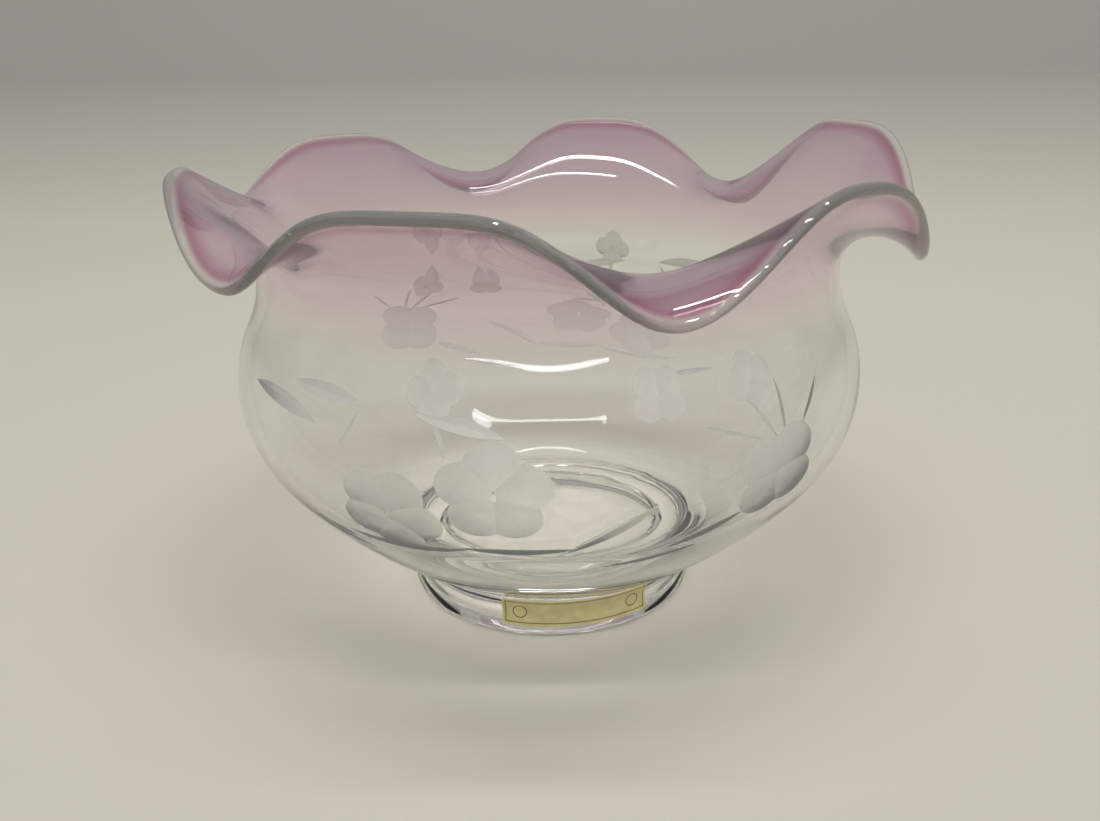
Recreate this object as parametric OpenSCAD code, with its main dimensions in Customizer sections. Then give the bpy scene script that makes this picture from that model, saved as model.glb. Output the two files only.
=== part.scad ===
// Blown glass bowl with a flared, ruffled rim, wheel-cut flower sprays round its belly,
// and a low hollow foot that carries a narrow foil label.
// Millimetres, +Z up. The origin is the centre of the ring that the foot stands on.
// Azimuths are degrees, anticlockwise from +X as seen from above. -Y is the front.

/* [Body] */
// Outer radius of the belly at its widest
belly_r = 78; // [76:1:84]
// Height of the widest point of the belly
belly_z = 60; // [57:1:63]
// Radius of the belly's curve below its widest point
belly_low_r = 34; // [28:1:40]
// Radius of the flatter curve of the underside, which runs down to the foot
underside_r = 120; // [105:5:140]
// Radius of the shoulder's curve above the widest point
shoulder_r = 32; // [26:1:34]
// How far the neck, the narrowest ring under the rim, is drawn in from the belly
neck_in = 7; // [5:0.5:9]
// Height of the neck above the belly's widest point
neck_up = 28; // [25:0.5:32]
// Thickness of the blown wall
wall = 3; // [2.4:0.1:4]
// Height of the flat floor inside
floor_z = 17; // [15:0.5:20]
// Radius that blends the floor into the wall
floor_blend_r = 30; // [20:1:35]

/* [Foot] */
// Outer radius of the foot at the table
foot_r = 38; // [36:0.5:39]
// Height of the foot, up to the underside of the bowl
foot_h = 11.5; // [10:0.5:13]
// How far the foot spreads where it meets the underside
foot_flare = 1.4; // [0.6:0.1:3]
// How far the side of the foot is drawn in at its waist
foot_waist = 1; // [0.5:0.1:2]
// Rounding of the foot's lower edge
foot_edge_r = 1.2; // [0.5:0.1:2]
// Width of the ring that the foot stands on, from its outside to the hollow
ring_w = 7; // [5:0.5:12]
// Depth of the hollow
hollow_h = 6; // [4:0.5:8]
// Rounding at the top of the hollow
hollow_blend_r = 2.5; // [1:0.5:3.5]

/* [Ruffled rim] */
// Number of waves round the rim
waves = 6; // [4:1:8]
// Azimuth of the first dip
first_dip = -132.5; // [-180:0.5:180]
// Height of the lip above the neck at a dip
dip_up = 3.5; // [2:0.5:7]
// Height of the lip above the neck at a crest
crest_up = 25; // [20:0.5:30]
// How far the lip stands out from the neck at a dip
dip_out = 20; // [18:0.5:23]
// How far the lip stands out from the neck at a crest
crest_out = 19; // [16:0.5:22]
// Slope of the glass where it ends at a dip, degrees, negative is down
dip_slope = -52; // [-60:1:-35]
// Slope of the glass where it ends at a crest, degrees
crest_slope = 36; // [25:1:50]
// Breadth of a crest, 1 is as broad as a dip
crest_breadth = 1.8; // [1:0.1:2.5]
// How far the glass climbs from the neck before it folds over
climb = 11; // [9:0.5:13]
// How straight the glass runs into the lip
run_out = 10; // [8:0.5:12]
// Thickness of the glass at the fire-polished lip
lip_t = 2.6; // [2:0.1:3.4]
// Share of the hand-made unevenness of the waves
unevenness = 1; // [0:0.1:1]

/* [Cut decoration] */
// Number of sprays round the belly
sprays = 2; // [1:1:2]
// Azimuth of the first spray's large flower
first_spray = -98; // [-180:1:180]
// Radius of a large flower, from its centre to a petal's tip
flower_r = 11.5; // [9:0.5:13]
// Radius of a small blossom
blossom_r = 6; // [4.5:0.5:7]
// Depth of a cut petal
petal_depth = 0.8; // [0.6:0.05:1]
// Depth of a cut leaf or blade
leaf_depth = 0.5; // [0.3:0.05:0.8]
// Depth of a cut stem
stem_depth = 0.3; // [0.2:0.05:0.5]
// Width of a cut stem
stem_w = 1.1; // [0.8:0.1:1.6]

/* [Label] */
// Length of the foil label along the foot
label_l = 38; // [24:1:44]
// Height of the label's lower edge above the table
label_z = 2.4; // [2:0.1:3]
// Gap between the label's upper edge and the top of the foot
label_gap = 1.5; // [0.5:0.1:4]
// Azimuth of the label's middle
label_azimuth = -80; // [-180:5:180]
// Thickness of the foil
foil_t = 0.15; // [0.1:0.05:0.3]

/* [Hidden] */

$fn = 120;
glass_colour = [0.86, 0.76, 0.82, 0.5];
foil_colour = [0.80, 0.70, 0.38];

// Degrees between the points of a drawn curve, steps up the side of the foot,
// and steps round its small roundings
curve_step = 5;
side_steps = 10;
rounding_steps = 6;
// The rim's mesh: columns in half a wave, rows up each side of the glass, steps round the lip
half_wave_columns = 10;
rim_rows = 9;
lip_steps = 4;
// The rim is rooted this deep in the neck, this far inside the neck's wall on each side
root_depth = 1.2;
root_inset = 0.05;
// Gap between the foil and the glass
glue = 0.02;
// A wheel reaches past the edges and ends of its cut by this share
overrun = 1.25;
// The flattest track that a wheel is led along
flattest_track_r = 500;
// Sides of a whole turn of a track
track_fn = 360;
// How much wider the petals are than petals that would only touch
petal_overlap = 1.5;
// Petals of a small blossom
blossom_petals = 4;
// What a small blossom's depth is of a large flower's
blossom_share = 0.6;

// Unevenness of each dip and crest in turn: degrees round, millimetres out, millimetres up,
// and how much broader a crest is
uneven = [[0, -2, 3.5, 0], [-2, 0, -2.3, 0.3], [-4, 0, 1.5, 0], [-9.5, -0.5, -1, -0.6],
    [-1.5, -3, -0.5, 0], [4.5, 0, 3, 0], [-0.5, 0, -0.5, 0], [1.5, 0, 1, -0.1],
    [-1.5, 0, 2, 0], [-2.5, 0, -1.5, 0], [-2.5, 0, 3, 0], [-7.5, -3.5, -3, 0]];

// The sprays' pieces. Azimuths count from the spray's first flower, and heights from the
// belly's widest point.
// Large flowers: azimuth, height, petals, direction of the first petal
flowers = [[0, -3, 5, 90], [-17, -10, 5, 60], [45, -5, 4, 55]];
// Small blossoms: azimuth, height, direction of the first petal
blossoms = [[24, 15, 45], [40, 15, 20], [-9, 16, 10]];
// Leaves: azimuth, height, direction, length, width, bend
leaves = [[-38, 9, -8, 26, 3.6, 50], [-28, 13, -4, 18, 3.6, 45], [-5, 10.5, -12, 15, 3.2, 40]];
// Long blades under the flowers, in the same terms
blades = [[-16, -19, 4, 32, 2.4, -35], [3, -17, 2, 24, 2.2, -30], [17, -12, 34, 22, 2.6, 30],
    [33, -16, 24, 16, 2.2, 25], [-33, -22, -20, 18, 2.2, -25], [25, -22, 14, 22, 2, -30]];
// Stems: azimuth, height, direction, length, bend
stems = [[52, 8, 50, 11, 10], [45, 9, 95, 12, -10], [41, 7.5, 128, 13, 20], [36, 5.5, 160, 17, 25],
    [-22.5, 7, 60, 9, 0], [-8, 9, 110, 12, 15]];

// Plain helpers
function mix(a, b, t) = a + (b - a) * t;
function on_circle(centre, r, a) = centre + r * [cos(a), sin(a)];
function arc(centre, r, from, to, steps) =
    [for (i = [0:steps]) on_circle(centre, r, mix(from, to, i / steps))];
function steps_for(angle) = max(3, ceil(abs(angle) / curve_step));
function backwards(points) = [for (i = [len(points) - 1:-1:0]) points[i]];
// Radius of the arc that leaves an upright line and has moved aside by dr after dz
function bulge_r(dz, dr) = (dz * dz + dr * dr) / (2 * dr);

// Sizes that follow from others
neck_r = belly_r - neck_in;
neck_z = belly_z + neck_up;
hollow_r = foot_r - ring_w;
foot_top_r = foot_r + foot_flare;
label_h = foot_h - label_z - label_gap;

// Centres of the curves of the body's outside. Each curve meets the next without a corner,
// and the underside's curve ends on the top of the foot.
low_c = [belly_r - belly_low_r, belly_z];
foot_way = [foot_top_r, foot_h] - low_c;
foot_reach = (foot_way * foot_way + belly_low_r * belly_low_r - 2 * belly_low_r * underside_r)
    / (2 * (belly_low_r - underside_r));
belly_low_angle = -atan2(foot_way[1], foot_way[0]) - acos(foot_reach / norm(foot_way));
under_c = on_circle(low_c, belly_low_r - underside_r, -belly_low_angle);
shoulder_c = [belly_r - shoulder_r, belly_z];
neck_out = neck_r - shoulder_c[0];
neck_curve_r = (neck_out * neck_out + neck_up * neck_up - shoulder_r * shoulder_r) / (2 * neck_in);
neck_c = [neck_r + neck_curve_r, neck_z];
shoulder_angle = atan2(neck_up, neck_c[0] - shoulder_c[0]);
under_top_z = belly_z - belly_low_r * sin(belly_low_angle);
shoulder_top_z = belly_z + shoulder_r * sin(shoulder_angle);
under_foot_angle = asin((under_c[1] - foot_h) / underside_r);

// The floor's blend touches the floor and the inner wall
blend_span = underside_r - wall - floor_blend_r;
blend_drop = under_c[1] - floor_z - floor_blend_r;
blend_angle = asin(blend_drop / blend_span);
blend_c = [under_c[0] + blend_span * cos(blend_angle), floor_z + floor_blend_r];

// The foot's side is upright at its waist and swells towards the table and the underside
waist_z = foot_h / 2;
waist_r = foot_r - foot_waist;
side_low_r = bulge_r(waist_z - foot_edge_r, foot_waist);
side_top_r = bulge_r(foot_h - waist_z, foot_top_r - waist_r);
function foot_side(z, off) = let (r = z < waist_z ? side_low_r : side_top_r)
    waist_r + r - sqrt((r - off) * (r - off) - (z - waist_z) * (z - waist_z));

// The body's outline from the underside to the neck, moved into the glass by inset
function body_outline(inset, from) = concat(
    arc(under_c, underside_r - inset, -from, -belly_low_angle, 2 * steps_for(from - belly_low_angle)),
    arc(low_c, belly_low_r - inset, curve_step - belly_low_angle, 0, steps_for(belly_low_angle) - 1),
    arc(shoulder_c, shoulder_r - inset, curve_step, shoulder_angle, steps_for(shoulder_angle) - 1),
    arc(neck_c, neck_curve_r + inset, 180 + shoulder_angle - curve_step, 180, steps_for(shoulder_angle) - 1));

module section() {
    polygon(concat(
        [[0, hollow_h]],
        arc([hollow_r - hollow_blend_r, hollow_h - hollow_blend_r], hollow_blend_r, 90, 0, rounding_steps),
        [[hollow_r, 0]],
        arc([foot_r - foot_edge_r, foot_edge_r], foot_edge_r, -90, 0, rounding_steps),
        [for (i = [1:side_steps - 1]) let (z = mix(foot_edge_r, foot_h, i / side_steps))
            [foot_side(z, 0), z]],
        body_outline(0, under_foot_angle),
        backwards(body_outline(wall, blend_angle)),
        arc(blend_c, floor_blend_r, -blend_angle - curve_step, -90, steps_for(90 - blend_angle) - 1),
        [[0, floor_z]]));
}

// The skin of the body at a height: its radius, how far its outward normal points down,
// and the radius of its curve, negative where it is hollow
function skin(z) =
    z < under_top_z ? curve_skin(under_c, underside_r, z)
    : z < belly_z ? curve_skin(low_c, belly_low_r, z)
    : z < shoulder_top_z ? curve_skin(shoulder_c, shoulder_r, z)
    : curve_skin(neck_c, -neck_curve_r, z);
function curve_skin(centre, r, z) = let (a = asin((centre[1] - z) / r)) [centre[0] + r * cos(a), a, r];
// How much the skin bends away in a direction, and across it
function bend_along(s, direction) = pow(cos(direction), 2) * cos(s[1]) / s[0] + pow(sin(direction), 2) / s[2];
function bend_across(s, direction) = bend_along(s, direction + 90);

// Puts a tool on the skin: +X out of the glass, +Y round the bowl, +Z up its side
module on_skin(azimuth, z) {
    s = skin(z);
    rotate([0, 0, azimuth]) translate([s[0], 0, z]) rotate([0, s[1], 0]) children();
}

// A round dish that a ball-edged wheel leaves, with its own half width and depth
module dish(azimuth, z, half_w, depth) {
    s = skin(z);
    skin_bend = (bend_along(s, 0) + bend_across(s, 0)) / 2;
    wheel_r = 1 / (2 * depth / (half_w * half_w) - skin_bend);
    on_skin(azimuth, z) translate([wheel_r - depth, 0, 0]) sphere(wheel_r);
}

// A long cut with pointed ends: a V-edged wheel led along the skin, leaning over by bend
module track(azimuth, z, direction, length, width, depth, bend) {
    s = skin(z);
    lift = max(bend_along(s, direction) - 8 * depth / (length * length), 1 / flattest_track_r);
    track_r = cos(bend) / lift;
    half_angle = overrun * length / 2 / track_r * 180 / PI;
    edge_w = overrun * width / 2;
    edge_h = overrun * (depth - bend_across(s, direction) * width * width / 8);
    on_skin(azimuth, z) rotate([direction, 0, 0]) translate([-depth, 0, 0])
        rotate([0, -bend, 0]) translate([-track_r, 0, 0]) rotate([0, 0, -half_angle])
            rotate_extrude(angle = 2 * half_angle, $fn = track_fn) translate([track_r, 0])
                rotate(-bend) polygon([[0, 0], [edge_h, -edge_w], [edge_h, edge_w]]);
}

// Overlapping round petals, whose tips lie r from the middle
module petals(azimuth, z, r, count, first, depth) {
    touch = petal_overlap * sin(180 / count);
    reach = r / (1 + touch);
    s = skin(z);
    for (i = [0:count - 1]) {
        a = first + 360 * i / count;
        dish(azimuth + reach * cos(a) / s[0] * 180 / PI, z + reach * sin(a) * cos(s[1]), r - reach, depth);
    }
}

module spray() {
    for (f = flowers) petals(f[0], belly_z + f[1], flower_r, f[2], f[3], petal_depth);
    for (b = blossoms)
        petals(b[0], belly_z + b[1], blossom_r, blossom_petals, b[2], blossom_share * petal_depth);
    for (l = leaves) track(l[0], belly_z + l[1], l[2], l[3], l[4], leaf_depth, l[5]);
    for (b = blades) track(b[0], belly_z + b[1], b[2], b[3], b[4], leaf_depth, b[5]);
    for (s = stems) track(s[0], belly_z + s[1], s[2], s[3], stem_w, stem_depth, s[4]);
}

module body() {
    difference() {
        rotate_extrude() section();
        for (i = [0:sprays - 1]) rotate([0, 0, first_spray + 360 * i / sprays]) spray();
    }
}

// The waves of the rim. Even turns are dips and odd turns are crests.
turns = 2 * waves;
function shift(i, k) = unevenness * uneven[(i % turns) % len(uneven)][k];
function turn_azimuth(i) = first_dip + 360 * i / turns + shift(i, 0);
function turn_lip(i) = (i % 2 == 0 ? [dip_out, dip_up, dip_slope] : [crest_out, crest_up, crest_slope])
    + [neck_r + shift(i, 1), neck_z + shift(i, 2), 0];

// How far the lip has come from one turn to the next, slow to leave a broad crest
function fall(t, crest) = pow((1 - cos(180 * t)) / 2, crest_breadth + shift(crest, 3));
function ease(i, t) = i % 2 == 0 ? 1 - fall(1 - t, i + 1) : fall(t, i);

// The middle of the glass from the neck to the lip is a curve that leaves the neck upright
function curve_at(p, t) = pow(1 - t, 3) * p[0] + 3 * t * pow(1 - t, 2) * p[1]
    + 3 * t * t * (1 - t) * p[2] + pow(t, 3) * p[3];
function way_at(p, t) = let (d = pow(1 - t, 2) * (p[1] - p[0]) + 2 * t * (1 - t) * (p[2] - p[1])
    + t * t * (p[3] - p[2])) d / norm(d);
function rim_section(lip) = let (
    root = [neck_r - wall / 2, neck_z],
    tip = [lip[0], lip[1]],
    p = [root, root + [0, climb], tip - run_out * [cos(lip[2]), sin(lip[2])], tip],
    end_way = way_at(p, 1),
    end_out = [end_way[1], -end_way[0]])
    concat(
        [root + [wall / 2 - root_inset, -root_depth]],
        [for (i = [0:rim_rows]) glass_side(p, i / rim_rows, 1)],
        [for (i = [1:lip_steps - 1]) let (a = 180 * i / lip_steps)
            tip + lip_t / 2 * (cos(a) * end_out + sin(a) * end_way)],
        [for (i = [rim_rows:-1:0]) glass_side(p, i / rim_rows, -1)],
        [root + [root_inset - wall / 2, -root_depth]]);
function glass_side(p, t, side) = let (way = way_at(p, t))
    curve_at(p, t) + side * mix(wall / 2 - root_inset, lip_t / 2, t) * [way[1], -way[0]];

module rim() {
    columns = [for (i = [0:turns - 1], j = [0:half_wave_columns - 1]) let (t = j / half_wave_columns)
        [mix(turn_azimuth(i), turn_azimuth(i + 1), t),
            rim_section(mix(turn_lip(i), turn_lip(i + 1), ease(i, t)))]];
    around = len(columns);
    along = len(columns[0][1]);
    points = [for (c = columns, p = c[1]) [p[0] * cos(c[0]), p[0] * sin(c[0]), p[1]]];
    faces = [for (i = [0:around - 1], j = [0:along - 1]) let (
        a = i * along + j,
        b = i * along + (j + 1) % along,
        c = (i + 1) % around * along + (j + 1) % along,
        d = (i + 1) % around * along + j)
        each [[a, b, c], [a, c, d]]];
    polyhedron(points, faces);
}

module bowl() {
    color(glass_colour) union() {
        body();
        rim();
    }
}

// The label bends with the side of the foot
module label() {
    half_angle = label_l / 2 / waist_r * 180 / PI;
    top = label_z + label_h;
    heights = [for (i = [0:side_steps]) mix(label_z, top, i / side_steps)];
    color(foil_colour) rotate([0, 0, label_azimuth - half_angle]) rotate_extrude(angle = 2 * half_angle)
        polygon(concat(
            [for (z = heights) [foot_side(z, glue + foil_t), z]],
            [for (z = backwards(heights)) [foot_side(z, glue), z]]));
}

bowl();
label();
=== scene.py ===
import math

import bmesh
import bpy
from mathutils import Matrix, Vector


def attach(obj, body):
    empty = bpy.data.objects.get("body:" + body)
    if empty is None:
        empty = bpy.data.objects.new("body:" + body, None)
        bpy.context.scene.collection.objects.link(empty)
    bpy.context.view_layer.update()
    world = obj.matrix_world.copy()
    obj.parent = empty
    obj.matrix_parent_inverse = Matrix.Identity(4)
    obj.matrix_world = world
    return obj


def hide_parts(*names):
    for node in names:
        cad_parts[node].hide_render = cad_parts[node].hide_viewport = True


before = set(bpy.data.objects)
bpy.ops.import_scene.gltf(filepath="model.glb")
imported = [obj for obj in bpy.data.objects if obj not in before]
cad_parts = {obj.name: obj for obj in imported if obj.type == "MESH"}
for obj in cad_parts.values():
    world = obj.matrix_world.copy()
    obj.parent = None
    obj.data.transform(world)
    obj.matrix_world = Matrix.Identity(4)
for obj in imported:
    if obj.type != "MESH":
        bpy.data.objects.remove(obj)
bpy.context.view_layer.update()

MM = 0.001

# The glass body, in millimetres
BELLY_R, BELLY_Z = 78, 60
LOW_R, UNDERSIDE_R, SHOULDER_R = 34, 120, 32
NECK_R, NECK_Z = 71, 88
WALL = 3
FLOOR_Z, FLOOR_BLEND_R = 17, 30

# The foot
FOOT_R, FOOT_H, FOOT_FLARE, FOOT_WAIST, FOOT_EDGE_R = 38, 11.5, 1.4, 1, 1.2
HOLLOW_R, HOLLOW_H, HOLLOW_BLEND_R = 31, 6, 2.5
# Rounding of the ring's inner edge, and where the rounding's middle point lies
RING_EDGE, RING_EDGE_MIDDLE = 0.9, 0.25

# The rim is blown as a straight tube of this length and then ruffled
TUBE = 32
WAVES = 6
FIRST_DIP = -132.5
# The lip's radius, height and slope at a dip and at a crest
DIP = (91, 91.5, -52)
CREST = (90, 113, 36)
CREST_BREADTH = 1.8
CLIMB, RUN_OUT, LIP_T = 11, 10, 2.55
# Unevenness of each dip and crest in turn: degrees round, millimetres out, millimetres up,
# and how much broader a crest is
UNEVEN = [
    (0, -2, 3.5, 0), (-2, 0, -2.3, 0.3), (-4, 0, 1.5, 0), (-9.5, -0.5, -1, -0.6),
    (-1.5, -3, -0.5, 0), (4.5, 0, 3, 0), (-0.5, 0, -0.5, 0), (1.5, 0, 1, -0.1),
    (-1.5, 0, 2, 0), (-2.5, 0, -1.5, 0), (-2.5, 0, 3, 0), (-7.5, -3.5, -3, 0),
]

# How finely the glass is drawn: columns round it, rows up the tube, and the sharpest edge
# in degrees that is still shaded smooth
COLUMNS, TUBE_ROWS, SMOOTH_EDGE = 288, 30, 9
# The colour's chart reaches up the straight tube to this height
CHART_H = 125

# The cut decoration. Azimuths count from a spray's first flower, and heights from the
# belly's widest point
SPRAYS, FIRST_SPRAY = 2, -98
FLOWER_R, BLOSSOM_R, BLOSSOM_PETALS = 11.5, 6, 4
PETAL_DEPTH, BLOSSOM_SHARE, PETAL_OVERLAP = 0.8, 0.6, 1.5
LEAF_DEPTH, STEM_DEPTH, STEM_W = 0.5, 0.3, 1.1
OVERRUN, FLATTEST_TRACK_R, WHEEL_CAP = 1.25, 500, 24
# Large flowers: azimuth, height, petals, direction of the first petal
FLOWERS = [(0, -3, 5, 90), (-17, -10, 5, 60), (45, -5, 4, 55)]
# Small blossoms: azimuth, height, direction of the first petal
BLOSSOMS = [(24, 15, 45), (40, 15, 20), (-9, 16, 10)]
# Leaves, and long blades under the flowers: azimuth, height, direction, length, width, bend
LEAVES = [(-38, 9, -8, 26, 3.6, 50), (-28, 13, -4, 18, 3.6, 45), (-5, 10.5, -12, 15, 3.2, 40)]
BLADES = [
    (-16, -19, 4, 32, 2.4, -35), (3, -17, 2, 24, 2.2, -30), (17, -12, 34, 22, 2.6, 30),
    (33, -16, 24, 16, 2.2, 25), (-33, -22, -20, 18, 2.2, -25), (25, -22, 14, 22, 2, -30),
]
# Stems: azimuth, height, direction, length, bend
STEMS = [
    (52, 8, 50, 11, 10), (45, 9, 95, 12, -10), (41, 7.5, 128, 13, 20), (36, 5.5, 160, 17, 25),
    (-22.5, 7, 60, 9, 0), (-8, 9, 110, 12, 15),
]

# The label, its border line's distance from the ends and from the long edges, and the ring
# near each end. The ring's band is in square millimetres.
LABEL_L, LABEL_H, LABEL_Z, LABEL_AZIMUTH = 38, 7.6, 2.4, -80
FOIL_T, GLUE = 0.12, 0.03
BORDER_FROM_END, BORDER_FROM_EDGE, BORDER_HALF_W = 0.9, 0.8, 0.12
RING_FROM_END, RING_R, RING_BAND = 4.5, 1.7, 0.45

# The stage, in metres: the floor's width and front edge, and the backdrop behind the bowl
FLOOR_W, FLOOR_FRONT, FLOOR_DROP = 6, -3, 0.0001
BACKDROP_Y, BACKDROP_H, SWEEP = 0.6, 0.8, 0.32
FLOOR_COLOUR, BACKDROP_COLOUR, BACKDROP_FULL_AT = (0.63, 0.59, 0.515), (0.34, 0.33, 0.30), 0.12

# The camera, in metres, degrees and pixels of the photograph
CAMERA, CAMERA_DOWN, CAMERA_TURN = (0.0001, -0.2393, 0.135), 20.52, -0.77
FOCAL, PHOTO_W, SENSOR_W = 953, 1100, 36


def mix(a, b, t):
    return a + (b - a) * t


def on_circle(centre, r, degrees):
    a = math.radians(degrees)
    return (centre[0] + r * math.cos(a), centre[1] + r * math.sin(a))


def arc(centre, r, start, end, steps):
    return [on_circle(centre, r, mix(start, end, i / steps)) for i in range(steps + 1)]


def deselect_all():
    for obj in bpy.context.selected_objects:
        obj.select_set(False)


def work_on(obj):
    deselect_all()
    obj.select_set(True)
    bpy.context.view_layer.objects.active = obj


# Centres of the curves that make the side of the body
LOW_C = (BELLY_R - LOW_R, BELLY_Z)
FOOT_WAY = (FOOT_R + FOOT_FLARE - LOW_C[0], FOOT_H - LOW_C[1])
FOOT_WAY_L = math.hypot(*FOOT_WAY)
FOOT_REACH = (FOOT_WAY_L ** 2 + LOW_R ** 2 - 2 * LOW_R * UNDERSIDE_R) / (2 * (LOW_R - UNDERSIDE_R))
LOW_ANGLE = -math.degrees(math.atan2(FOOT_WAY[1], FOOT_WAY[0]) + math.acos(FOOT_REACH / FOOT_WAY_L))
UNDER_C = on_circle(LOW_C, LOW_R - UNDERSIDE_R, -LOW_ANGLE)
SHOULDER_C = (BELLY_R - SHOULDER_R, BELLY_Z)
NECK_OUT = NECK_R - SHOULDER_C[0]
NECK_UP = NECK_Z - BELLY_Z
NECK_CURVE_R = (NECK_OUT ** 2 + NECK_UP ** 2 - SHOULDER_R ** 2) / (2 * (BELLY_R - NECK_R))
NECK_C = (NECK_R + NECK_CURVE_R, NECK_Z)
SHOULDER_ANGLE = math.degrees(math.atan2(NECK_C[1] - SHOULDER_C[1], NECK_C[0] - SHOULDER_C[0]))
UNDER_FOOT_ANGLE = math.degrees(math.asin((UNDER_C[1] - FOOT_H) / UNDERSIDE_R))
BLEND_SPAN = UNDERSIDE_R - WALL - FLOOR_BLEND_R
BLEND_ANGLE = math.degrees(math.asin((UNDER_C[1] - FLOOR_Z - FLOOR_BLEND_R) / BLEND_SPAN))
BLEND_C = (UNDER_C[0] + BLEND_SPAN * math.cos(math.radians(BLEND_ANGLE)), FLOOR_Z + FLOOR_BLEND_R)

WAIST_Z = FOOT_H / 2
WAIST_R = FOOT_R - FOOT_WAIST


def bulge_r(dz, dr):
    return (dz * dz + dr * dr) / (2 * dr)


SIDE_LOW_R = bulge_r(WAIST_Z - FOOT_EDGE_R, FOOT_WAIST)
SIDE_TOP_R = bulge_r(FOOT_H - WAIST_Z, FOOT_R + FOOT_FLARE - WAIST_R)


def foot_side(z, off=0):
    r = SIDE_LOW_R if z < WAIST_Z else SIDE_TOP_R
    return WAIST_R + r - math.sqrt((r - off) ** 2 - (z - WAIST_Z) ** 2)


def body_side(inset, start):
    return (
        arc(UNDER_C, UNDERSIDE_R - inset, -start, -LOW_ANGLE, 16)
        + arc(LOW_C, LOW_R - inset, -LOW_ANGLE, 0, 14)[1:]
        + arc(SHOULDER_C, SHOULDER_R - inset, 0, SHOULDER_ANGLE, 16)[1:]
        + arc(NECK_C, NECK_CURVE_R + inset, 180 + SHOULDER_ANGLE, 180, 8)[1:]
    )


def blank_section():
    """The section of the glass before its rim is ruffled, from the axis below to the axis above."""
    top = NECK_Z + TUBE
    middle = NECK_R - WALL / 2
    tube = [NECK_Z + TUBE * i / TUBE_ROWS for i in range(1, TUBE_ROWS + 1)]
    under = [(HOLLOW_R * i / 5, HOLLOW_H) for i in range(5)]
    under += arc((HOLLOW_R - HOLLOW_BLEND_R, HOLLOW_H - HOLLOW_BLEND_R), HOLLOW_BLEND_R, 90, 0, 8)
    under += [(HOLLOW_R, RING_EDGE), (HOLLOW_R + RING_EDGE_MIDDLE, RING_EDGE_MIDDLE)]
    under += [(HOLLOW_R + RING_EDGE, 0)]
    foot = arc((FOOT_R - FOOT_EDGE_R, FOOT_EDGE_R), FOOT_EDGE_R, -90, 0, 6)
    foot += [(foot_side(z), z) for z in (mix(FOOT_EDGE_R, FOOT_H, i / 14) for i in range(1, 14))]
    lip = arc((middle, top), WALL / 2, 0, 180, 10)[1:-1]
    inside = list(reversed(body_side(WALL, BLEND_ANGLE)))
    floor = arc(BLEND_C, FLOOR_BLEND_R, -BLEND_ANGLE, -90, 14)[1:]
    return (
        under + foot + body_side(0, UNDER_FOOT_ANGLE)
        + [(NECK_R, z) for z in tube] + lip + [(NECK_R - WALL, z) for z in reversed(tube)]
        + inside + floor + [(BLEND_C[0] * (1 - i / 5), FLOOR_Z) for i in range(1, 6)]
    )


def wave_at(degrees):
    """The lip's radius, height and slope at an azimuth, between a dip and a crest."""
    turns = 2 * WAVES
    marks = [FIRST_DIP + 360 * i / turns + UNEVEN[i][0] for i in range(turns)] + [FIRST_DIP + 360]
    degrees = FIRST_DIP + (degrees - FIRST_DIP) % 360
    i = max(k for k in range(turns) if marks[k] <= degrees + 1e-9)
    share = (degrees - marks[i]) / (marks[i + 1] - marks[i])
    crest = i if i % 2 else i + 1
    from_crest = share if i % 2 else 1 - share
    fall = ((1 - math.cos(math.pi * from_crest)) / 2) ** (CREST_BREADTH + UNEVEN[crest][3])
    share = fall if i % 2 else 1 - fall
    ends = []
    for k in (i, (i + 1) % turns):
        r, z, slope = CREST if k % 2 else DIP
        ends.append((r + UNEVEN[k][1], z + UNEVEN[k][2], slope))
    return [mix(a, b, share) for a, b in zip(*ends)]


def ruffled(x, y, z):
    """Where a point of the straight tube comes to lie when the rim is pulled into waves."""
    degrees = math.degrees(math.atan2(y, x))
    r = math.hypot(x, y)
    lip_r, lip_z, slope = wave_at(degrees)
    a = math.radians(slope)
    root = Vector((NECK_R - WALL / 2, NECK_Z))
    tip = Vector((lip_r, lip_z))
    p = [root, root + Vector((0, CLIMB)), tip - RUN_OUT * Vector((math.cos(a), math.sin(a))), tip]
    t = min((z - NECK_Z) / TUBE, 1)
    q = 1 - t
    middle = q ** 3 * p[0] + 3 * t * q * q * p[1] + 3 * t * t * q * p[2] + t ** 3 * p[3]
    way = (q * q * (p[1] - p[0]) + 2 * t * q * (p[2] - p[1]) + t * t * (p[3] - p[2])).normalized()
    side = Vector((way.y, -way.x))
    squeeze = mix(1, LIP_T / WALL, t)
    past = max(z - NECK_Z - TUBE, 0)
    moved = middle + squeeze * ((r - NECK_R + WALL / 2) * side + past * way)
    a = math.radians(degrees)
    return (moved.x * math.cos(a), moved.x * math.sin(a), moved.y)


def skin(z):
    """The body's radius at a height, how far its normal points down, and the radius of its curve."""
    if z < BELLY_Z - LOW_R * math.sin(math.radians(LOW_ANGLE)):
        centre, r = UNDER_C, UNDERSIDE_R
    elif z < BELLY_Z:
        centre, r = LOW_C, LOW_R
    elif z < BELLY_Z + SHOULDER_R * math.sin(math.radians(SHOULDER_ANGLE)):
        centre, r = SHOULDER_C, SHOULDER_R
    else:
        centre, r = NECK_C, -NECK_CURVE_R
    a = math.asin((centre[1] - z) / r)
    return centre[0] + r * math.cos(a), a, r


def bend_along(s, degrees):
    c, d = math.cos(math.radians(degrees)), math.sin(math.radians(degrees))
    return c * c * math.cos(s[1]) / s[0] + d * d / s[2]


def turn(axis, degrees):
    return Matrix.Rotation(math.radians(degrees), 4, axis)


def on_skin(azimuth, z):
    """The place of a tool on the skin: +X out of the glass, +Y round the bowl, +Z up its side."""
    s = skin(z)
    return turn("Z", azimuth) @ Matrix.Translation((s[0], 0, z)) @ Matrix.Rotation(s[1], 4, "Y")


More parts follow.
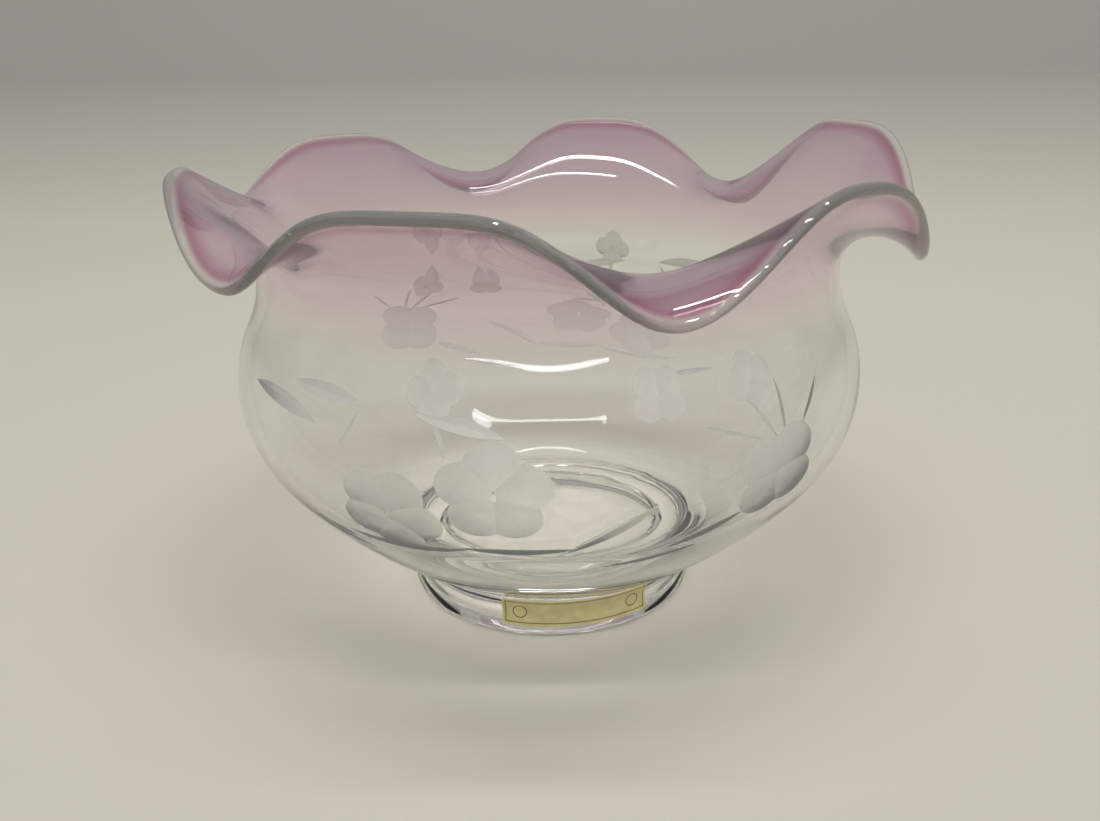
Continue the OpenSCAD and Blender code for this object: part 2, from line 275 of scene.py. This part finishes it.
def put(obj, place):
    """Moves a tool's mesh, drawn in millimetres, to its place and size in the scene."""
    obj.data.transform(Matrix.Scale(MM, 4) @ place)
    obj.data.update()


def make_wheel(obj, name, finishes):
    """A wheel's own faces carry the second finish, which it leaves on the glass."""
    obj.name = name
    for layer in list(obj.data.uv_layers):
        obj.data.uv_layers.remove(layer)
    for finish in finishes:
        obj.data.materials.append(finish)
    for face in obj.data.polygons:
        face.material_index = 1
    return obj


def petal_wheel(finishes):
    """The end of a ball-edged wheel of radius 1, which points down."""
    deselect_all()
    bpy.ops.mesh.primitive_uv_sphere_add(segments=32, ring_count=120, radius=1)
    bpy.ops.object.mode_set(mode="EDIT")
    bpy.ops.mesh.select_all(action="SELECT")
    edge = -math.cos(math.radians(WHEEL_CAP))
    bpy.ops.mesh.bisect(plane_co=(0, 0, edge), plane_no=(0, 0, 1), use_fill=True, clear_outer=True)
    bpy.ops.object.mode_set(mode="OBJECT")
    return make_wheel(bpy.context.active_object, "petal_wheel", finishes)


def cut_dish(wheel, azimuth, z, half_w, depth):
    """One round petal: a copy of the ball-edged wheel, sized for the petal."""
    s = skin(z)
    bend = (bend_along(s, 0) + bend_along(s, 90)) / 2
    wheel_r = 1 / (2 * depth / half_w ** 2 - bend)
    dish = wheel.copy()
    dish.data = wheel.data.copy()
    bpy.context.collection.objects.link(dish)
    put(dish, on_skin(azimuth, z) @ Matrix.Translation((wheel_r - depth, 0, 0)) @ turn("Y", 90)
        @ Matrix.Scale(wheel_r, 4))
    return dish


def cut_track(finishes, azimuth, z, direction, length, width, depth, bend):
    """The path of a V-edged wheel, which leaves a leaf, a blade or a stem."""
    s = skin(z)
    lift = max(bend_along(s, direction) - 8 * depth / length ** 2, 1 / FLATTEST_TRACK_R)
    track_r = math.cos(math.radians(bend)) / lift
    half_angle = OVERRUN * length / 2 / track_r
    edge_w = OVERRUN * width / 2
    edge_h = OVERRUN * (depth - bend_along(s, direction + 90) * width ** 2 / 8)
    deselect_all()
    bpy.ops.mesh.primitive_circle_add(vertices=3, radius=1, fill_type="NGON")
    wheel = bpy.context.active_object
    lean = math.radians(bend)
    for vertex, (out, up) in zip(wheel.data.vertices, ((0, 0), (edge_h, -edge_w), (edge_h, edge_w))):
        across = out * math.cos(lean) + up * math.sin(lean)
        rise = -out * math.sin(lean) + up * math.cos(lean)
        vertex.co = turn("Z", math.degrees(half_angle)) @ Vector((track_r + across, 0, rise))
    bpy.ops.object.mode_set(mode="EDIT")
    bpy.ops.mesh.select_all(action="SELECT")
    bpy.ops.mesh.spin(steps=28, angle=2 * half_angle, center=(0, 0, 0), axis=(0, 0, 1))
    bpy.ops.mesh.select_all(action="SELECT")
    bpy.ops.mesh.remove_doubles(threshold=1e-5)
    bpy.ops.mesh.normals_make_consistent(inside=False)
    bpy.ops.object.mode_set(mode="OBJECT")
    make_wheel(wheel, "track_wheel", finishes)
    place = on_skin(azimuth, z) @ turn("X", direction) @ Matrix.Translation((-depth, 0, 0))
    put(wheel, place @ turn("Y", -bend) @ Matrix.Translation((-track_r, 0, 0)))
    return wheel


def cut_petals(wheel, azimuth, z, r, count, first, depth):
    """Overlapping round petals, whose tips lie r from the middle."""
    reach = r / (1 + PETAL_OVERLAP * math.sin(math.pi / count))
    s = skin(z)
    dishes = []
    for i in range(count):
        a = math.radians(first + 360 * i / count)
        round_bowl = math.degrees(reach * math.cos(a) / s[0])
        rise = reach * math.sin(a) * math.cos(s[1])
        dishes.append(cut_dish(wheel, azimuth + round_bowl, z + rise, r - reach, depth))
    return dishes


def blow_bowl():
    """Draws the section of the straight blank and spins it."""
    points = blank_section()
    deselect_all()
    bpy.ops.mesh.primitive_circle_add(vertices=len(points), radius=0.05)
    bowl = bpy.context.active_object
    bowl.name = "bowl_glass"
    for vertex, (r, z) in zip(bowl.data.vertices, points):
        vertex.co = (r * MM, 0, z * MM)
    bpy.ops.object.mode_set(mode="EDIT")
    shape = bmesh.from_edit_mesh(bowl.data)
    shape.edges.ensure_lookup_table()
    for edge in shape.edges:
        edge.select = all(v.co.x < 1e-6 for v in edge.verts)
    bmesh.update_edit_mesh(bowl.data)
    bpy.ops.mesh.delete(type="EDGE_FACE")
    bpy.ops.mesh.select_all(action="SELECT")
    bpy.ops.mesh.spin(steps=COLUMNS, angle=2 * math.pi, center=(0, 0, 0), axis=(0, 0, 1))
    bpy.ops.mesh.select_all(action="SELECT")
    bpy.ops.mesh.remove_doubles(threshold=1e-6)
    bpy.ops.mesh.normals_make_consistent(inside=False)
    bpy.ops.object.mode_set(mode="OBJECT")
    return bowl


def mark_blank_height(bowl):
    """A UV map whose V is the height on the straight blank, which the flash of colour follows."""
    chart = bowl.data.uv_layers.new(name="blank")
    for loop in bowl.data.loops:
        x, y, z = bowl.data.vertices[loop.vertex_index].co
        chart.data[loop.index].uv = (math.atan2(y, x) / (2 * math.pi) + 0.5, z / MM / CHART_H)


def ruffle_rim(bowl):
    for vertex in bowl.data.vertices:
        if vertex.co.z > (NECK_Z + 0.01) * MM:
            x, y, z = vertex.co / MM
            vertex.co = Vector(ruffled(x, y, z)) * MM


def wheel_rounds(finishes):
    """The wheels of all the sprays, in rounds whose wheels don't touch each other."""
    wheel = petal_wheel(finishes)
    petals = [[] for i in range(5)]
    leaves = [[] for i in range(3)]
    stems = [[] for i in range(3)]
    for spray in range(SPRAYS):
        start = FIRST_SPRAY + 360 * spray / SPRAYS
        for azimuth, z, count, first in FLOWERS:
            place = (start + azimuth, BELLY_Z + z)
            dishes = cut_petals(wheel, *place, FLOWER_R, count, first, PETAL_DEPTH)
            for done, dish in zip(petals, dishes):
                done.append(dish)
        for azimuth, z, first in BLOSSOMS:
            depth = BLOSSOM_SHARE * PETAL_DEPTH
            place = (start + azimuth, BELLY_Z + z)
            dishes = cut_petals(wheel, *place, BLOSSOM_R, BLOSSOM_PETALS, first, depth)
            for done, dish in zip(petals, dishes):
                done.append(dish)
        for pieces in (LEAVES, BLADES):
            for i, (azimuth, z, direction, length, width, bend) in enumerate(pieces):
                place = (start + azimuth, BELLY_Z + z, direction)
                leaves[i % 3].append(cut_track(finishes, *place, length, width, LEAF_DEPTH, bend))
        for i, (azimuth, z, direction, length, bend) in enumerate(STEMS):
            place = (start + azimuth, BELLY_Z + z, direction)
            stems[i % 3].append(cut_track(finishes, *place, length, STEM_W, STEM_DEPTH, bend))
    bpy.data.objects.remove(wheel, do_unlink=True)
    return petals + leaves + stems


def engrave(bowl, wheels):
    """Grinds one round of petals, leaves or stems out of the glass."""
    work_on(wheels[0])
    for wheel in wheels:
        wheel.select_set(True)
    bpy.ops.object.join()
    tool = bpy.context.active_object
    work_on(bowl)
    cut = bowl.modifiers.new("cut", "BOOLEAN")
    cut.operation = "DIFFERENCE"
    cut.solver = "MANIFOLD"
    cut.object = tool
    bpy.ops.object.modifier_apply(modifier=cut.name)
    bpy.data.objects.remove(tool, do_unlink=True)


def node(tree, kind, **values):
    made = tree.nodes.new(kind)
    for key, value in values.items():
        if key in made.inputs:
            made.inputs[key].default_value = value
        else:
            setattr(made, key.lower().replace(" ", "_"), value)
    return made


def new_material(name):
    made = bpy.data.materials.new(name)
    made.use_nodes = True
    tree = made.node_tree
    return made, tree, tree.nodes["Principled BSDF"]


def ramp(tree, stops):
    made = tree.nodes.new("ShaderNodeValToRGB")
    while len(made.color_ramp.elements) < len(stops):
        made.color_ramp.elements.new(0.5)
    for element, (place, colour) in zip(made.color_ramp.elements, stops):
        element.position = place
        element.color = (*colour, 1)
    return made


def up_the_blank(stops):
    """A ramp's stops, given by their height on the straight blank."""
    return [(height / CHART_H, colour) for height, colour in stops]


def let_lamps_through(tree, shader):
    """Lamps shine through the glass, so that it throws a light shadow."""
    passing = tree.nodes.new("ShaderNodeBsdfTransparent")
    passing.inputs["Color"].default_value = (0.48, 0.47, 0.47, 1)
    rays = tree.nodes.new("ShaderNodeLightPath")
    blend = tree.nodes.new("ShaderNodeMixShader")
    tree.links.new(rays.outputs["Is Shadow Ray"], blend.inputs[0])
    tree.links.new(shader.outputs[0], blend.inputs[1])
    tree.links.new(passing.outputs[0], blend.inputs[2])
    tree.links.new(blend.outputs[0], tree.nodes["Material Output"].inputs["Surface"])


def flashed_glass():
    """Clear glass whose rim is flashed with rose that deepens towards the lip."""
    made, tree, shader = new_material("flashed_glass")
    link = tree.links.new
    chart = node(tree, "ShaderNodeUVMap", uv_map="blank")
    parts = tree.nodes.new("ShaderNodeSeparateXYZ")
    link(chart.outputs["UV"], parts.inputs[0])
    flash = ramp(tree, up_the_blank([
        (0, (0.98, 0.985, 0.98)), (79, (0.98, 0.985, 0.98)), (88, (0.92, 0.83, 0.88)),
        (104, (0.86, 0.70, 0.785)), (115, (0.79, 0.61, 0.70)), (118.4, (0.58, 0.30, 0.42)),
        (119.6, (0.70, 0.68, 0.63)),
    ]))
    link(parts.outputs["Y"], flash.inputs[0])
    link(flash.outputs["Color"], shader.inputs["Base Color"])
    clear_to = [(0, 1), (84, 1), (100, 0.95), (118.4, 0.93), (119.6, 0.72)]
    clarity = ramp(tree, up_the_blank([(height, (share,) * 3) for height, share in clear_to]))
    link(parts.outputs["Y"], clarity.inputs[0])
    link(clarity.outputs["Color"], shader.inputs["Transmission Weight"])
    place = tree.nodes.new("ShaderNodeTexCoord")
    ripple = node(tree, "ShaderNodeTexNoise", Scale=28.0, Detail=0.0)
    link(place.outputs["Object"], ripple.inputs["Vector"])
    bump = node(tree, "ShaderNodeBump", Strength=0.25, Distance=0.001)
    link(ripple.outputs["Fac"], bump.inputs["Height"])
    link(bump.outputs["Normal"], shader.inputs["Normal"])
    shader.inputs["Roughness"].default_value = 0.0
    shader.inputs["IOR"].default_value = 1.5
    let_lamps_through(tree, shader)
    return made


def ground_glass():
    """The matte, silvery floor of the wheel cuts."""
    made, tree, shader = new_material("ground_glass")
    link = tree.links.new
    place = tree.nodes.new("ShaderNodeTexCoord")
    grit = node(tree, "ShaderNodeTexNoise", Scale=900.0, Detail=2.0)
    link(place.outputs["Object"], grit.inputs["Vector"])
    tone = ramp(tree, [(0.3, (0.92, 0.93, 0.92)), (0.7, (0.98, 0.99, 0.98))])
    link(grit.outputs["Fac"], tone.inputs[0])
    link(tone.outputs["Color"], shader.inputs["Base Color"])
    bump = node(tree, "ShaderNodeBump", Strength=0.3, Distance=0.0002)
    link(grit.outputs["Fac"], bump.inputs["Height"])
    link(bump.outputs["Normal"], shader.inputs["Normal"])
    shader.inputs["Transmission Weight"].default_value = 0.76
    shader.inputs["Roughness"].default_value = 0.42
    shader.inputs["IOR"].default_value = 1.5
    return made


def line_across(tree, value, place, half_w):
    """1 on a line drawn where a value passes a place, and 0 elsewhere."""
    apart = node(tree, "ShaderNodeMath", operation="SUBTRACT")
    tree.links.new(value, apart.inputs[0])
    apart.inputs[1].default_value = place
    size = node(tree, "ShaderNodeMath", operation="ABSOLUTE")
    tree.links.new(apart.outputs[0], size.inputs[0])
    on_line = node(tree, "ShaderNodeMath", operation="LESS_THAN")
    tree.links.new(size.outputs[0], on_line.inputs[0])
    on_line.inputs[1].default_value = half_w
    return on_line.outputs[0]


def past(tree, value, start, scale=1):
    """How far a value has come past a start, times a scale."""
    apart = node(tree, "ShaderNodeMath", operation="SUBTRACT")
    tree.links.new(value, apart.inputs[0])
    apart.inputs[1].default_value = start
    grown = node(tree, "ShaderNodeMath", operation="MULTIPLY")
    tree.links.new(apart.outputs[0], grown.inputs[0])
    grown.inputs[1].default_value = scale
    return grown.outputs[0]


def two_in(tree, operation, a, b):
    made = node(tree, "ShaderNodeMath", operation=operation)
    tree.links.new(a, made.inputs[0])
    tree.links.new(b, made.inputs[1])
    return made.outputs[0]


def gold_foil():
    """Dull gold foil paper with a thin dark border line and a plain ring near each end."""
    made, tree, shader = new_material("gold_foil")
    link = tree.links.new
    chart = node(tree, "ShaderNodeUVMap", uv_map="UVMap")
    parts = tree.nodes.new("ShaderNodeSeparateXYZ")
    link(chart.outputs["UV"], parts.inputs[0])
    along = past(tree, parts.outputs["X"], 0.5, LABEL_L)
    up = past(tree, parts.outputs["Y"], 0.5, LABEL_H)
    size_along = node(tree, "ShaderNodeMath", operation="ABSOLUTE")
    link(along, size_along.inputs[0])
    size_up = node(tree, "ShaderNodeMath", operation="ABSOLUTE")
    link(up, size_up.inputs[0])
    edge_along = past(tree, size_along.outputs[0], LABEL_L / 2 - BORDER_FROM_END)
    edge_up = past(tree, size_up.outputs[0], LABEL_H / 2 - BORDER_FROM_EDGE)
    border = line_across(tree, two_in(tree, "MAXIMUM", edge_along, edge_up), 0, BORDER_HALF_W)
    ring_along = past(tree, size_along.outputs[0], LABEL_L / 2 - RING_FROM_END)
    along_squared = two_in(tree, "MULTIPLY", ring_along, ring_along)
    up_squared = two_in(tree, "MULTIPLY", up, up)
    ring = line_across(tree, two_in(tree, "ADD", along_squared, up_squared), RING_R ** 2, RING_BAND)
    drawn = two_in(tree, "MAXIMUM", border, ring)
    place = tree.nodes.new("ShaderNodeTexCoord")
    crinkle = node(tree, "ShaderNodeTexNoise", Scale=350.0, Detail=5.0)
    link(place.outputs["Object"], crinkle.inputs["Vector"])
    tone = ramp(tree, [(0.3, (0.68, 0.63, 0.30)), (0.7, (0.82, 0.77, 0.40))])
    link(crinkle.outputs["Fac"], tone.inputs[0])
    inked = node(tree, "ShaderNodeMix", data_type="RGBA")
    link(drawn, inked.inputs[0])
    link(tone.outputs["Color"], inked.inputs[6])
    inked.inputs[7].default_value = (0.16, 0.12, 0.05, 1)
    link(inked.outputs[2], shader.inputs["Base Color"])
    bump = node(tree, "ShaderNodeBump", Strength=0.3, Distance=0.0001)
    link(crinkle.outputs["Fac"], bump.inputs["Height"])
    link(bump.outputs["Normal"], shader.inputs["Normal"])
    shader.inputs["Metallic"].default_value = 0.2
    shader.inputs["Roughness"].default_value = 0.42
    return made


def make_label():
    deselect_all()
    bpy.ops.mesh.primitive_grid_add(x_subdivisions=60, y_subdivisions=12, size=1)
    label = bpy.context.active_object
    label.name = "foil_label"
    for vertex in label.data.vertices:
        along = vertex.co.x * LABEL_L
        z = LABEL_Z + (vertex.co.y + 0.5) * LABEL_H
        r = foot_side(z, GLUE)
        a = math.radians(LABEL_AZIMUTH) + along / WAIST_R
        vertex.co = (r * math.cos(a) * MM, r * math.sin(a) * MM, z * MM)
    work_on(label)
    bpy.ops.object.mode_set(mode="EDIT")
    bpy.ops.mesh.select_all(action="SELECT")
    bpy.ops.mesh.normals_make_consistent(inside=False)
    bpy.ops.object.mode_set(mode="OBJECT")
    foil = label.modifiers.new("foil", "SOLIDIFY")
    foil.thickness = FOIL_T * MM
    foil.offset = 1
    bpy.ops.object.modifier_apply(modifier=foil.name)
    label.data.materials.append(gold_foil())
    return label


def make_bowl():
    bowl = blow_bowl()
    mark_blank_height(bowl)
    ruffle_rim(bowl)
    finishes = (flashed_glass(), ground_glass())
    for finish in finishes:
        bowl.data.materials.append(finish)
    for wheels in wheel_rounds(finishes):
        engrave(bowl, wheels)
    work_on(bowl)
    bpy.ops.object.shade_smooth_by_angle(angle=math.radians(SMOOTH_EDGE))
    return bowl


def make_stage():
    """A pale floor that sweeps up into a greyer backdrop behind the bowl."""
    deselect_all()
    bpy.ops.mesh.primitive_plane_add(size=1, location=(0, 0, 0))
    floor = bpy.context.active_object
    floor.name = "floor"
    for vertex in floor.data.vertices:
        x, y, z = vertex.co
        vertex.co = (x * FLOOR_W, BACKDROP_Y if y > 0 else FLOOR_FRONT, -FLOOR_DROP)
    bpy.ops.object.mode_set(mode="EDIT")
    bpy.ops.mesh.select_all(action="DESELECT")
    select_foot_of_backdrop(floor)
    bpy.ops.mesh.extrude_region_move(TRANSFORM_OT_translate={"value": (0, 0, BACKDROP_H)})
    bpy.ops.mesh.select_all(action="DESELECT")
    select_foot_of_backdrop(floor)
    bpy.ops.mesh.bevel(offset=SWEEP, segments=24)
    bpy.ops.object.mode_set(mode="OBJECT")
    bpy.ops.object.shade_smooth()
    made, tree, shader = new_material("pale_floor")
    place = tree.nodes.new("ShaderNodeTexCoord")
    parts = tree.nodes.new("ShaderNodeSeparateXYZ")
    tree.links.new(place.outputs["Object"], parts.inputs[0])
    tone = ramp(tree, [(0, FLOOR_COLOUR), (BACKDROP_FULL_AT, BACKDROP_COLOUR)])
    tree.links.new(parts.outputs["Z"], tone.inputs[0])
    tree.links.new(tone.outputs["Color"], shader.inputs["Base Color"])
    shader.inputs["Roughness"].default_value = 0.7
    floor.data.materials.append(made)


def select_foot_of_backdrop(floor):
    shape = bmesh.from_edit_mesh(floor.data)
    for edge in shape.edges:
        edge.select_set(all(v.co.y > BACKDROP_Y / 2 and v.co.z < BACKDROP_H / 2 for v in edge.verts))
    bmesh.update_edit_mesh(floor.data)


def add_lamp(name, place, aim, size, power):
    """An area lamp whose long side lies along X."""
    bpy.ops.object.light_add(type="AREA", location=place)
    lamp = bpy.context.active_object
    lamp.name = name
    lamp.data.shape = "RECTANGLE"
    lamp.data.size, lamp.data.size_y = size
    lamp.data.energy = power
    back = (Vector(place) - Vector(aim)).normalized()
    up = back.cross(Vector((1, 0, 0))).normalized()
    lamp.rotation_euler = Matrix((up.cross(back), up, back)).transposed().to_euler()


def make_world():
    """Even light all round, and the backdrop's grey where the room itself is seen."""
    world = bpy.data.worlds.new("room")
    bpy.context.scene.world = world
    world.use_nodes = True
    tree = world.node_tree
    light = tree.nodes["Background"]
    light.inputs["Color"].default_value = (0.43, 0.43, 0.43, 1)
    seen = tree.nodes.new("ShaderNodeBackground")
    seen.inputs["Color"].default_value = (0.33, 0.32, 0.295, 1)
    rays = tree.nodes.new("ShaderNodeLightPath")
    direct = two_in(tree, "MAXIMUM", rays.outputs["Is Camera Ray"], rays.outputs["Is Glossy Ray"])
    direct = two_in(tree, "MAXIMUM", direct, rays.outputs["Is Transmission Ray"])
    blend = tree.nodes.new("ShaderNodeMixShader")
    tree.links.new(direct, blend.inputs[0])
    tree.links.new(light.outputs[0], blend.inputs[1])
    tree.links.new(seen.outputs[0], blend.inputs[2])
    tree.links.new(blend.outputs[0], tree.nodes["World Output"].inputs["Surface"])


def light_and_camera():
    add_lamp("front_tube", (0.15, -0.7, 1.7), (0.15, 0, 0.05), size=(1.65, 0.05), power=10.5)
    add_lamp("middle_tube", (0.1, -0.1, 1.7), (0.1, 0, 0.05), size=(1.3, 0.08), power=10)
    make_world()
    bpy.ops.object.camera_add(location=CAMERA)
    camera = bpy.context.active_object
    camera.data.lens = FOCAL / PHOTO_W * SENSOR_W
    camera.data.sensor_width = SENSOR_W
    camera.data.clip_start = 0.01
    camera.rotation_euler = (turn("X", 90 - CAMERA_DOWN) @ turn("Z", CAMERA_TURN)).to_euler()
    bpy.context.scene.camera = camera
    bpy.context.scene.view_settings.view_transform = "Standard"


light_and_camera()
make_stage()
bowl = make_bowl()
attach(bowl, "root")
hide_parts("bowl")
label = make_label()
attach(label, "root")
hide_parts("label")
